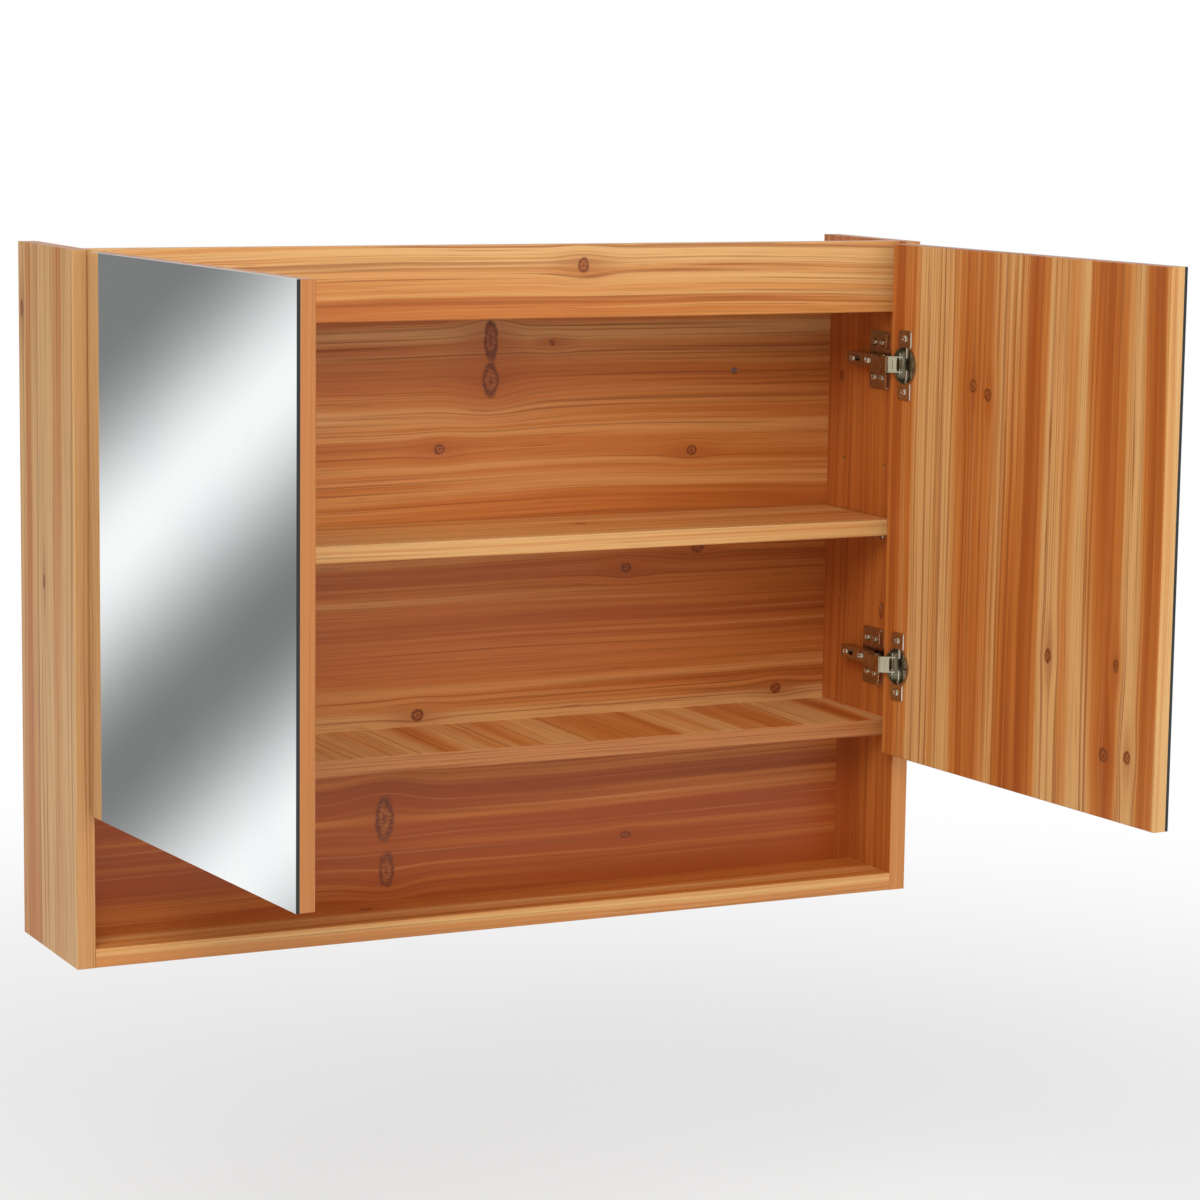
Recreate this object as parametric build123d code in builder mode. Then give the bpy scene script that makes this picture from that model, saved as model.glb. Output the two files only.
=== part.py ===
from build123d import *
import os
from math import cos, radians, sin

# Wall-hung mirror cabinet with two mirror doors over an open shelf.
# Sizes in millimetres. The origin is midway between the two wall screw holes, on the rear face.
# X runs to the right, Y from the doors to the wall, Z up. Heights are given above the underside.

# Cabinet
WIDTH = 800.0
DEPTH = 150.0
HEIGHT = 600.0
BOARD = 16.0
SHELF_BOARD = 15.0
SETBACK = 10.0
EDGE_ROUND = 1.0
INNER = WIDTH / 2 - BOARD
FRONT = -DEPTH
INSET_FRONT = FRONT + SETBACK
BACK_FACE = -BOARD

FIXED_SHELF_AT = 145.0
ADJUSTABLE_SHELF_AT = 330.5
SHELF_PLAY = 2.0
RAIL_HEIGHT = 64.0
RAIL_AT = HEIGHT - RAIL_HEIGHT
TOP_PANEL_AT = 572.0
BACK_TOP = TOP_PANEL_AT + BOARD
LOWER_BACK_FRONT = -75.0
BATTEN_WIDTH = 17.0
BATTEN_IN = INNER - BATTEN_WIDTH

# Wall screws
WALL_SCREW_HEIGHT = 475.0
WALL_SCREW_X = 283.0
WALL_SCREW_R = 3.0
WALL_SINK_R = 4.5

# Dowels that join the boards
DOWEL_R = 4.0
DOWEL_IN_SIDE = 12.0
DOWEL_IN_BOARD = 18.0
BATTEN_DOWEL_IN = 12.0

# Shelf pins
PIN_R = 2.5
PIN_HOLE_DEPTH = 10.0
PIN_ROWS = (FRONT + 28.0, FRONT + 103.0)
PIN_HEIGHTS = (264.0, 328.0, 392.0)
PIN_USED = 328.0
PIN_OUT = 8.0
PIN_COLLAR_R = 3.6
PIN_COLLAR = 1.2

# Doors
DOOR_WIDTH = 398.0
DOOR_BOTTOM = 131.0
DOOR_HEIGHT = 467.5
DOOR_BOARD = 13.0
MIRROR = 3.0
DOOR_OVERLAP_IN = 1.0
DOOR_GAP = 2.0
DOOR_ROUND = 1.2
DOOR_REST_ANGLE = {"left": 86.0, "right": 94.0}
SIDES = ("left", "right")

# Hinges. Their points are (inward from the outer face, forward from the front edge), door shut.
HINGE_HEIGHTS = {"upper": 490.0, "lower": 215.0}
INNER_PIVOT = (28.8, -15.0)
OUTER_PIVOT = (34.5, -2.0)
INNER_END = (10.2, 5.6)
OUTER_END = (15.4, 9.5)
INNER_RATE = -0.39
OUTER_RATE = -0.273
ARM_PIN_R = 1.25
ARM_PIN_PROUD = 0.4
INNER_CUP_PIN_R = 1.0
OUTER_CUP_PIN_R = 1.25
RUNNING_FIT = 0.05

# Mounting plate on the side panel
PLATE_THICK = 1.6
PLATE_HALF_HEIGHT = 26.5
PLATE_CORNER = 3.0
PLATE_BACK = -56.0
PLATE_FRONT = -14.5
PLATE_NOSE_HALF = 9.5
PLATE_NOSE_CORNER = 2.0
WING_FRONT = -22.0
RIB_WIDTH = 5.0
RIB_THICK = 3.4
RIB_SPAN = (10.5, 25.5)
RIB_CORNER = 2.0
SPINE_TOP = 8.0
SPINE_HALF = 4.2
SPINE_BACK = -76.0
SPINE_FRONT = -26.0
PLATE_SCREW_COLUMNS = (-34.0, -48.0)
PLATE_SCREW_HALF = 16.0
PLATE_SCREW_R = 1.7
PLATE_SCREW_LENGTH = 13.0
PLATE_HEAD_R = 3.3
PLATE_HEAD = 2.0

# Arm, a channel open towards the side panel
ARM_HALF = 5.9
ARM_SHEET = 1.4
ARM_FOOT = 19.5
ARM_TOP = 28.4
ARM_TAIL = -79.0
ARM_RISE = ((ARM_TOP, -28.0), (34.6, -17.0), (37.1, -8.0), (37.1, -2.0))
ARM_RETURN = ((31.9, -2.0), (30.0, -9.0), (25.6, -15.0), (24.5, -24.0), (ARM_FOOT, -30.0))
ARM_HOLLOW_RISE = ((ARM_TOP - ARM_SHEET, -28.4), (33.3, -16.6), (35.7, -7.8))
ARM_EYE_R = 2.6
ARM_PIN_EYE_R = 3.2
TAIL_SCREW_AT = -70.0
RING_SCREW_AT = -42.0
ARM_SLOT = (-64.5, -56.5)
ARM_SLOT_HALF = 2.4
ARM_SCREW_R = 2.0
ARM_SCREW_HEAD_R = {"tail": 3.4, "ring": 4.0}
ARM_SCREW_HEAD = 1.8
SPINE_HOLE = 6.0

# Links
INNER_LINK_HALF = 4.2
INNER_LINK_R = 1.25
INNER_LINK_PATH = (
    INNER_END, (11.0, 7.8), (13.2, 9.4), (16.0, 9.5), (19.0, 8.0),
    (21.6, 4.5), (22.1, 1.0), (21.1, -3.2), (23.0, -8.0), INNER_PIVOT,
)
INNER_LINK_EYES = ((INNER_END, 2.2), (INNER_PIVOT, 3.0))
OUTER_LINK_HALF = 7.4
OUTER_LINK_SHEET = 1.2
OUTER_LINK_R = 0.85
OUTER_LINK_EYE_R = 3.0
LINK_CUT = 60.0
OUTER_LINK_PATH = (OUTER_PIVOT, (34.6, 5.5), (32.6, 9.2), (28.0, 10.5), (18.4, 10.5))
OUTER_LINK_WEB = ((36.2, 1.6), (36.0, 4.5), (35.2, 7.0), (33.4, 9.6))

# Cup
CUP_FROM_EDGE = 22.5
CUP_R = 17.5
CUP_WALL = 1.0
CUP_DEPTH = 10.5
CUP_FLOOR = 0.8
FLANGE_R = 18.3
FLANGE_THICK = 1.0
FLANGE_LENGTH = 63.0
FLANGE_WIDTH = 20.0
FLANGE_ROUND = 4.0
CUP_SCREW_HALF = 24.0
CUP_SCREW_R = 1.7
CUP_SCREW_LENGTH = 10.0
CUP_HEAD_R = 3.3
CUP_HEAD = 1.6
INNER_CUP_PIN_HALF = 10.0
OUTER_CUP_PIN_SPAN = (5.6, 14.6)

os.makedirs("parts", exist_ok=True)


def level(height):
    """Horizontal plane at a height above the underside."""
    return Plane.XY.offset(height - WALL_SCREW_HEIGHT)


def up(height):
    """Z of a height above the underside."""
    return height - WALL_SCREW_HEIGHT


def sign(side):
    return 1 if side == "right" else -1


def block(x_span, y_span, height, thick):
    """A board from its extent in X and Y, its underside's height and its thickness."""
    centre = (sum(x_span) / 2, sum(y_span) / 2)
    with BuildSketch(level(height)) as outline:
        with Locations(centre):
            Rectangle(x_span[1] - x_span[0], y_span[1] - y_span[0])
    extrude(outline.sketch, amount=thick)


# Dowels: each joint gives its height and the places along Y
BOARD_JOINTS = {
    "bottom_panel": (BOARD / 2, (-130.0, -75.0, -20.0)),
    "fixed_shelf": (FIXED_SHELF_AT + SHELF_BOARD / 2, (-120.0, -75.0, -30.0)),
    "top_panel": (TOP_PANEL_AT + BOARD / 2, (-100.0, -40.0)),
}
RAIL_Y = INSET_FRONT + BOARD / 2
BACK_Y = BACK_FACE / 2
LOWER_BACK_Y = LOWER_BACK_FRONT + BOARD / 2
RAIL_DOWELS = [(RAIL_Y, 552.0), (RAIL_Y, 584.0)]
BACK_DOWELS = [(BACK_Y, 200.0), (BACK_Y, 370.0), (BACK_Y, 540.0)]
BATTEN_SIDE_DOWELS = [(LOWER_BACK_Y, 36.0), (LOWER_BACK_Y, 124.0)]
BATTEN_BOARD_DOWELS = [(LOWER_BACK_Y, 60.0), (LOWER_BACK_Y, 100.0)]


def joint_dowels(name):
    height, places = BOARD_JOINTS[name]
    return [(y, height) for y in places]


def dowel_locations(places, joint_x, outward, inward):
    """Centres of dowels that cross a joint plane at joint_x, on both sides of the cabinet."""
    centre = joint_x + (outward - inward) / 2
    return [Location((s * centre, y, up(height))) for s in (-1, 1) for y, height in places]


def side_dowels(places):
    return dowel_locations(places, INNER, DOWEL_IN_SIDE, DOWEL_IN_BOARD)


def dowels(locations, length, mode):
    with Locations(*locations):
        Cylinder(DOWEL_R, length, rotation=(0, 90, 0), mode=mode)


DOWEL_LENGTH = DOWEL_IN_SIDE + DOWEL_IN_BOARD
BATTEN_DOWEL_LENGTH = 2 * BATTEN_DOWEL_IN
LONG_DOWELS = side_dowels(
    [place for name in BOARD_JOINTS for place in joint_dowels(name)] + RAIL_DOWELS + BACK_DOWELS
)
BATTEN_TO_SIDE = dowel_locations(BATTEN_SIDE_DOWELS, INNER, BATTEN_DOWEL_IN, BATTEN_DOWEL_IN)
BATTEN_TO_BOARD = dowel_locations(BATTEN_BOARD_DOWELS, BATTEN_IN, BATTEN_DOWEL_IN, BATTEN_DOWEL_IN)


# Hinge planes. Local X runs inward from the outer face, local Y forward from the front edge.
def hinge_plane(side, height):
    corner = (sign(side) * WIDTH / 2, FRONT, up(height))
    return Plane(origin=corner, x_dir=(-sign(side), 0, 0), z_dir=(0, 0, sign(side)))


def turned(plane, start, end, angle):
    """The plane moved so that its point start lands on end, and turned about that point."""
    there = Location((end[0], end[1], 0), (0, 0, angle))
    back = Location((-start[0], -start[1], 0))
    return Plane(plane.location * there * back)


def swung(point, pivot, angle):
    """A point turned about a pivot in the hinge plane."""
    c, s = cos(radians(angle)), sin(radians(angle))
    dx, dy = point[0] - pivot[0], point[1] - pivot[1]
    return (pivot[0] + c * dx - s * dy, pivot[1] + s * dx + c * dy)


def link_plane(side, height, pivot, rate):
    angle = rate * DOOR_REST_ANGLE[side]
    return turned(hinge_plane(side, height), pivot, pivot, angle)


def door_plane(side, height):
    angle = DOOR_REST_ANGLE[side]
    carried = swung(INNER_END, INNER_PIVOT, INNER_RATE * angle)
    return turned(hinge_plane(side, height), INNER_END, carried, angle)


def face_plane(plane, point, normal, along):
    """A plane across a hinge plane, at one of its points."""
    origin = plane.from_local_coords((point[0], point[1], 0))
    return Plane(origin=origin, x_dir=along, z_dir=normal)


def plate_plane(side, height):
    """On the side panel's inner face. Local X runs forward, local Z inward."""
    plane = hinge_plane(side, height)
    return face_plane(plane, (BOARD, 0), plane.x_dir, plane.y_dir)


def cup_plane(side, height):
    """On the door's inner face at the cup's centre. Local Z runs into the door."""
    plane = door_plane(side, height)
    centre = (DOOR_OVERLAP_IN + CUP_FROM_EDGE, DOOR_GAP)
    return face_plane(plane, centre, plane.y_dir, plane.x_dir)


def bar(path, radius):
    """A band of even width along a path, with round ends and corners."""
    for start, end in zip(path[:-1], path[1:]):
        with BuildLine() as run:
            Line(start, end)
        trace(run.line, line_width=2 * radius)
    with Locations(*path):
        Circle(radius)


PLATE_SCREW_PLACES = [(c, s * PLATE_SCREW_HALF) for c in PLATE_SCREW_COLUMNS for s in (-1, 1)]
CUP_SCREW_PLACES = [(0, -CUP_SCREW_HALF), (0, CUP_SCREW_HALF)]
ARM_SCREW_PLACES = {"tail": TAIL_SCREW_AT, "ring": RING_SCREW_AT}
HINGES = [(side, name, height) for side in SIDES for name, height in HINGE_HEIGHTS.items()]

# Side panels, with holes for shelf pins, dowels and plate screws
for side in SIDES:
    near, far = sorted((sign(side) * INNER, sign(side) * WIDTH / 2))
    with BuildPart() as side_panel:
        block((near, far), (FRONT, 0), 0, HEIGHT)
        fillet(side_panel.edges().filter_by(Axis.Z), EDGE_ROUND)
        pin_holes = [Location((sign(side) * (INNER + PIN_HOLE_DEPTH / 2), y, up(h)))
                     for y in PIN_ROWS for h in PIN_HEIGHTS]
        with Locations(*pin_holes):
            Cylinder(PIN_R, PIN_HOLE_DEPTH, rotation=(0, 90, 0), mode=Mode.SUBTRACT)
        dowels(LONG_DOWELS, DOWEL_LENGTH, Mode.SUBTRACT)
        dowels(BATTEN_TO_SIDE, BATTEN_DOWEL_LENGTH, Mode.SUBTRACT)
        for height in HINGE_HEIGHTS.values():
            with BuildSketch(plate_plane(side, height)):
                with Locations(*PLATE_SCREW_PLACES):
                    Circle(PLATE_SCREW_R)
            extrude(amount=-PLATE_SCREW_LENGTH, mode=Mode.SUBTRACT)
    side_panel.part.label = f"{side}_side_panel"
    export_step(side_panel.part, f"parts/{side}_side_panel.step")

# Bottom panel, its front flush with the sides
with BuildPart() as bottom_panel:
    block((-INNER, INNER), (FRONT, 0), 0, BOARD)
    fillet(bottom_panel.edges().filter_by(Axis.X).group_by(Axis.Y)[0], EDGE_ROUND)
    dowels(side_dowels(joint_dowels("bottom_panel")), DOWEL_LENGTH, Mode.SUBTRACT)
bottom_panel.part.label = "bottom_panel"
export_step(bottom_panel.part, "parts/bottom_panel.step")

# Fixed shelf over the open compartment
with BuildPart() as fixed_shelf:
    block((-INNER, INNER), (INSET_FRONT, 0), FIXED_SHELF_AT, SHELF_BOARD)
    fillet(fixed_shelf.edges().filter_by(Axis.X).group_by(Axis.Y)[0], EDGE_ROUND)
    dowels(side_dowels(joint_dowels("fixed_shelf")), DOWEL_LENGTH, Mode.SUBTRACT)
fixed_shelf.part.label = "fixed_shelf"
export_step(fixed_shelf.part, "parts/fixed_shelf.step")

# Adjustable shelf, loose between the sides on its four pins
with BuildPart() as adjustable_shelf:
    block((-INNER + SHELF_PLAY, INNER - SHELF_PLAY), (INSET_FRONT, BACK_FACE - SHELF_PLAY),
          ADJUSTABLE_SHELF_AT, SHELF_BOARD)
    fillet(adjustable_shelf.edges().filter_by(Axis.X).group_by(Axis.Y)[0], EDGE_ROUND)
adjustable_shelf.part.label = "adjustable_shelf"
export_step(adjustable_shelf.part, "parts/adjustable_shelf.step")

# Front rail across the top
with BuildPart() as front_top_rail:
    block((-INNER, INNER), (INSET_FRONT, INSET_FRONT + BOARD), RAIL_AT, RAIL_HEIGHT)
    fillet(front_top_rail.edges().filter_by(Axis.X).group_by(Axis.Y)[0], EDGE_ROUND)
    dowels(side_dowels(RAIL_DOWELS), DOWEL_LENGTH, Mode.SUBTRACT)
front_top_rail.part.label = "front_top_rail"
export_step(front_top_rail.part, "parts/front_top_rail.step")

# Top panel behind the rail
with BuildPart() as top_panel:
    block((-INNER, INNER), (INSET_FRONT + BOARD, BACK_FACE), TOP_PANEL_AT, BOARD)
    dowels(side_dowels(joint_dowels("top_panel")), DOWEL_LENGTH, Mode.SUBTRACT)
top_panel.part.label = "top_panel"
export_step(top_panel.part, "parts/top_panel.step")

# Upper back panel, standing on the fixed shelf, with the two wall screw holes
with BuildPart() as upper_back_panel:
    under = FIXED_SHELF_AT + SHELF_BOARD
    block((-INNER, INNER), (BACK_FACE, 0), under, BACK_TOP - under)
    front_face = Plane(origin=(0, BACK_FACE, 0), x_dir=(1, 0, 0), z_dir=(0, -1, 0))
    with Locations(front_face):
        with Locations((-WALL_SCREW_X, 0), (WALL_SCREW_X, 0)):
            CounterSinkHole(WALL_SCREW_R, WALL_SINK_R, depth=BOARD, counter_sink_angle=90)
    dowels(side_dowels(BACK_DOWELS), DOWEL_LENGTH, Mode.SUBTRACT)
upper_back_panel.part.label = "upper_back_panel"
export_step(upper_back_panel.part, "parts/upper_back_panel.step")

# Lower back panel, set forward between two corner battens
LOWER_SPAN = (LOWER_BACK_FRONT, LOWER_BACK_FRONT + BOARD)
LOWER_HEIGHT = FIXED_SHELF_AT - BOARD
with BuildPart() as lower_back_panel:
    block((-BATTEN_IN, BATTEN_IN), LOWER_SPAN, BOARD, LOWER_HEIGHT)
    dowels(BATTEN_TO_BOARD, BATTEN_DOWEL_LENGTH, Mode.SUBTRACT)
lower_back_panel.part.label = "lower_back_panel"
export_step(lower_back_panel.part, "parts/lower_back_panel.step")

for side in SIDES:
    near, far = sorted((sign(side) * BATTEN_IN, sign(side) * INNER))
    with BuildPart() as corner_batten:
        block((near, far), LOWER_SPAN, BOARD, LOWER_HEIGHT)
        dowels(BATTEN_TO_BOARD, BATTEN_DOWEL_LENGTH, Mode.SUBTRACT)
        dowels(BATTEN_TO_SIDE, BATTEN_DOWEL_LENGTH, Mode.SUBTRACT)
    corner_batten.part.label = f"{side}_corner_batten"
    export_step(corner_batten.part, f"parts/{side}_corner_batten.step")

# Dowels in all the joints
with BuildPart() as wooden_dowels:
    dowels(LONG_DOWELS, DOWEL_LENGTH, Mode.ADD)
    dowels(BATTEN_TO_SIDE + BATTEN_TO_BOARD, BATTEN_DOWEL_LENGTH, Mode.ADD)
wooden_dowels.part.label = "wooden_dowels"
export_step(wooden_dowels.part, "parts/wooden_dowels.step")

# Shelf pins, each with a collar against the side panel
with BuildPart() as shelf_pins:
    for side in SIDES:
        for y in PIN_ROWS:
            face = Plane(origin=(sign(side) * INNER, y, up(PIN_USED)), x_dir=(0, 1, 0),
                         z_dir=(-sign(side), 0, 0))
            with BuildSketch(face.offset(-PIN_HOLE_DEPTH)):
                Circle(PIN_R)
            extrude(amount=PIN_HOLE_DEPTH + PIN_OUT)
            with BuildSketch(face):
                Circle(PIN_COLLAR_R)
                Circle(PIN_R, mode=Mode.SUBTRACT)
            extrude(amount=PIN_COLLAR)
shelf_pins.part.label = "shelf_pins"
export_step(shelf_pins.part, "parts/shelf_pins.step")

# Doors: a board with two cup holes, and the mirror glued over its whole front
for side in SIDES:
    plane = door_plane(side, DOOR_BOTTOM + DOOR_HEIGHT / 2)
    centre_u = DOOR_OVERLAP_IN + DOOR_WIDTH / 2
    with BuildPart() as door_panel:
        with BuildSketch(plane):
            with Locations((centre_u, DOOR_GAP + DOOR_BOARD / 2)):
                Rectangle(DOOR_WIDTH, DOOR_BOARD)
        extrude(amount=DOOR_HEIGHT / 2, both=True)
        inner_face = door_panel.faces().sort_by(SortBy.AREA)[-2:].sort_by(
            lambda face: abs(plane.to_local_coords(face.center()).Y - DOOR_GAP))[0]
        fillet(inner_face.edges(), DOOR_ROUND)
        for height in HINGE_HEIGHTS.values():
            with BuildSketch(cup_plane(side, height)):
                Circle(CUP_R)
            extrude(amount=CUP_DEPTH, mode=Mode.SUBTRACT)
            with BuildSketch(cup_plane(side, height)):
                with Locations(*CUP_SCREW_PLACES):
                    Circle(CUP_SCREW_R)
            extrude(amount=CUP_SCREW_LENGTH, mode=Mode.SUBTRACT)
    door_panel.part.label = f"{side}_door_panel"
    export_step(door_panel.part, f"parts/{side}_door_panel.step")

    with BuildPart() as mirror_glass:
        with BuildSketch(plane):
            with Locations((centre_u, DOOR_GAP + DOOR_BOARD + MIRROR / 2)):
                Rectangle(DOOR_WIDTH, MIRROR)
        extrude(amount=DOOR_HEIGHT / 2, both=True)
    mirror_glass.part.label = f"{side}_mirror"
    export_step(mirror_glass.part, f"parts/{side}_mirror.step")

# Mounting plates: a flat plate with ribbed wings and a raised spine for the arm
for side, name, height in HINGES:
    face = plate_plane(side, height)
    with BuildPart() as mounting_plate:
        with BuildSketch(face):
            with Locations(((PLATE_BACK + WING_FRONT) / 2, 0)):
                RectangleRounded(WING_FRONT - PLATE_BACK, 2 * PLATE_HALF_HEIGHT, PLATE_CORNER)
            with Locations(((PLATE_BACK + PLATE_FRONT) / 2, 0)):
                RectangleRounded(PLATE_FRONT - PLATE_BACK, 2 * PLATE_NOSE_HALF, PLATE_NOSE_CORNER)
        extrude(amount=PLATE_THICK)
        with BuildSketch(face):
            for way in (-1, 1):
                with Locations((WING_FRONT - RIB_WIDTH / 2, way * sum(RIB_SPAN) / 2)):
                    RectangleRounded(RIB_WIDTH, RIB_SPAN[1] - RIB_SPAN[0], RIB_CORNER)
        extrude(amount=RIB_THICK)
        with BuildSketch(face):
            with Locations(((SPINE_BACK + SPINE_FRONT) / 2, 0)):
                Rectangle(SPINE_FRONT - SPINE_BACK, 2 * SPINE_HALF)
        extrude(amount=SPINE_TOP)
        with BuildSketch(face):
            with Locations(*PLATE_SCREW_PLACES):
                Circle(PLATE_SCREW_R)
        extrude(amount=PLATE_THICK, mode=Mode.SUBTRACT)
        with BuildSketch(face.offset(SPINE_TOP)):
            with Locations(*[(at, 0) for at in ARM_SCREW_PLACES.values()]):
                Circle(ARM_SCREW_R)
        extrude(amount=-SPINE_HOLE, mode=Mode.SUBTRACT)
    mounting_plate.part.label = f"{side}_{name}_mounting_plate"
    export_step(mounting_plate.part, f"parts/{side}_{name}_mounting_plate.step")

# Screws that hold the plates to the side panels
with BuildPart() as plate_screws:
    for side, name, height in HINGES:
        face = plate_plane(side, height)
        with BuildSketch(face.offset(PLATE_THICK)):
            with Locations(*PLATE_SCREW_PLACES):
                Circle(PLATE_SCREW_R)
        extrude(amount=-PLATE_SCREW_LENGTH - PLATE_THICK)
        with BuildSketch(face.offset(PLATE_THICK)):
            with Locations(*PLATE_SCREW_PLACES):
                Circle(PLATE_HEAD_R)
        extrude(amount=PLATE_HEAD)
plate_screws.part.label = "plate_screws"
export_step(plate_screws.part, "parts/plate_screws.step")


def arm_outline():
    """The arm's side view: a straight tail that rises to the two pivots."""
    with BuildLine() as outline:
        Polyline((ARM_FOOT, ARM_TAIL), (ARM_TOP, ARM_TAIL), *ARM_RISE, *ARM_RETURN, close=True)
    make_face(outline.edges())
    with Locations(OUTER_PIVOT):
        Circle(ARM_EYE_R)
    with Locations(INNER_PIVOT):
        Circle(ARM_PIN_EYE_R)


def arm_hollow():
    """The space inside the channel, open to the side panel and to both ends."""
    start = (ARM_FOOT - ARM_SHEET, ARM_TAIL - ARM_SHEET)
    end = (ARM_HOLLOW_RISE[-1][0], -OUTER_PIVOT[1])
    with BuildLine() as outline:
        Polyline(start, (ARM_TOP - ARM_SHEET, start[1]), *ARM_HOLLOW_RISE, end, (start[0], end[1]),
                 close=True)
    make_face(outline.edges())


# Arms
for side, name, height in HINGES:
    plane = hinge_plane(side, height)
    with BuildPart() as hinge_arm:
        with BuildSketch(plane):
            arm_outline()
        extrude(amount=ARM_HALF, both=True)
        with BuildSketch(plane):
            arm_hollow()
        extrude(amount=ARM_HALF - ARM_SHEET, both=True, mode=Mode.SUBTRACT)
        with BuildSketch(plane):
            with Locations(INNER_PIVOT, OUTER_PIVOT):
                Circle(ARM_PIN_R)
        extrude(amount=ARM_HALF, both=True, mode=Mode.SUBTRACT)
        web_face = plate_plane(side, height).offset(ARM_TOP - BOARD)
        with BuildSketch(web_face):
            with Locations(*[(at, 0) for at in ARM_SCREW_PLACES.values()]):
                Circle(ARM_SCREW_R)
            with Locations((sum(ARM_SLOT) / 2, 0)):
                SlotOverall(ARM_SLOT[1] - ARM_SLOT[0], 2 * ARM_SLOT_HALF)
        extrude(amount=-ARM_SHEET, mode=Mode.SUBTRACT)
    hinge_arm.part.label = f"{side}_{name}_hinge_arm"
    export_step(hinge_arm.part, f"parts/{side}_{name}_hinge_arm.step")

# The screw at each arm's tail and the ringed adjusting screw, both into the plate's spine
for kind in ARM_SCREW_PLACES:
    with BuildPart() as arm_screws:
        for side, name, height in HINGES:
            web_face = plate_plane(side, height).offset(ARM_TOP - BOARD)
            reach = ARM_TOP - BOARD - SPINE_TOP + SPINE_HOLE
            with BuildSketch(web_face):
                with Locations((ARM_SCREW_PLACES[kind], 0)):
                    Circle(ARM_SCREW_R)
            extrude(amount=-reach)
            with BuildSketch(web_face):
                with Locations((ARM_SCREW_PLACES[kind], 0)):
                    Circle(ARM_SCREW_HEAD_R[kind])
            extrude(amount=ARM_SCREW_HEAD)
    arm_screws.part.label = f"arm_{kind}_screws"
    export_step(arm_screws.part, f"parts/arm_{kind}_screws.step")

# Pins on which the links turn, fixed in the arms
with BuildPart() as hinge_arm_pins:
    for side, name, height in HINGES:
        plane = hinge_plane(side, height)
        for pivot, half in ((INNER_PIVOT, ARM_HALF), (OUTER_PIVOT, OUTER_LINK_HALF + ARM_PIN_PROUD)):
            with BuildSketch(plane):
                with Locations(pivot):
                    Circle(ARM_PIN_R)
            extrude(amount=half, both=True)
hinge_arm_pins.part.label = "hinge_arm_pins"
export_step(hinge_arm_pins.part, "parts/hinge_arm_pins.step")

# Links. The outer link's far end is open, so that the linkage turns freely at a steady rate.
for side, name, height in HINGES:
    plane = link_plane(side, height, INNER_PIVOT, INNER_RATE)
    with BuildPart() as inner_link:
        with BuildSketch(plane):
            bar(INNER_LINK_PATH, INNER_LINK_R)
            for centre, radius in INNER_LINK_EYES:
                with Locations(centre):
                    Circle(radius)
            with Locations(INNER_PIVOT):
                Circle(ARM_PIN_R + RUNNING_FIT, mode=Mode.SUBTRACT)
            with Locations(INNER_END):
                Circle(INNER_CUP_PIN_R + RUNNING_FIT, mode=Mode.SUBTRACT)
        extrude(amount=INNER_LINK_HALF, both=True)
    inner_link.part.label = f"{side}_{name}_inner_link"
    export_step(inner_link.part, f"parts/{side}_{name}_inner_link.step")

    plane = link_plane(side, height, OUTER_PIVOT, OUTER_RATE)
    with BuildPart() as outer_link:
        with BuildSketch(plane):
            bar(OUTER_LINK_PATH, OUTER_LINK_R)
            with Locations(OUTER_PIVOT):
                Circle(OUTER_LINK_EYE_R)
        extrude(amount=OUTER_LINK_HALF, both=True)
        with BuildSketch(plane):
            with Locations(OUTER_PIVOT):
                Rectangle(LINK_CUT, LINK_CUT)
        extrude(amount=OUTER_LINK_HALF - OUTER_LINK_SHEET, both=True, mode=Mode.SUBTRACT)
        with BuildSketch(plane):
            bar(OUTER_LINK_WEB, OUTER_LINK_SHEET / 2)
        extrude(amount=OUTER_LINK_HALF, both=True)
        with BuildSketch(plane):
            with Locations(OUTER_PIVOT):
                Circle(ARM_PIN_R + RUNNING_FIT)
        extrude(amount=OUTER_LINK_HALF, both=True, mode=Mode.SUBTRACT)
    outer_link.part.label = f"{side}_{name}_outer_link"
    export_step(outer_link.part, f"parts/{side}_{name}_outer_link.step")

# Cups, pressed into the doors
for side, name, height in HINGES:
    face = cup_plane(side, height)
    plane = door_plane(side, height)
    with BuildPart() as hinge_cup:
        with BuildSketch(face):
            Circle(CUP_R)
        extrude(amount=CUP_DEPTH)
        with BuildSketch(face):
            Circle(FLANGE_R)
            RectangleRounded(FLANGE_WIDTH, FLANGE_LENGTH, FLANGE_ROUND)
        extrude(amount=-FLANGE_THICK)
        with BuildSketch(face.offset(-FLANGE_THICK)):
            Circle(CUP_R - CUP_WALL)
        extrude(amount=FLANGE_THICK + CUP_DEPTH - CUP_FLOOR, mode=Mode.SUBTRACT)
        with BuildSketch(face.offset(-FLANGE_THICK)):
            with Locations(*CUP_SCREW_PLACES):
                Circle(CUP_SCREW_R)
        extrude(amount=FLANGE_THICK, mode=Mode.SUBTRACT)
        for centre, radius, half in (
            (INNER_END, INNER_CUP_PIN_R, INNER_CUP_PIN_HALF),
            (OUTER_END, OUTER_CUP_PIN_R, OUTER_CUP_PIN_SPAN[1]),
        ):
            with BuildSketch(plane):
                with Locations(centre):
                    Circle(radius)
            extrude(amount=half, both=True, mode=Mode.SUBTRACT)
    hinge_cup.part.label = f"{side}_{name}_hinge_cup"
    export_step(hinge_cup.part, f"parts/{side}_{name}_hinge_cup.step")

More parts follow.
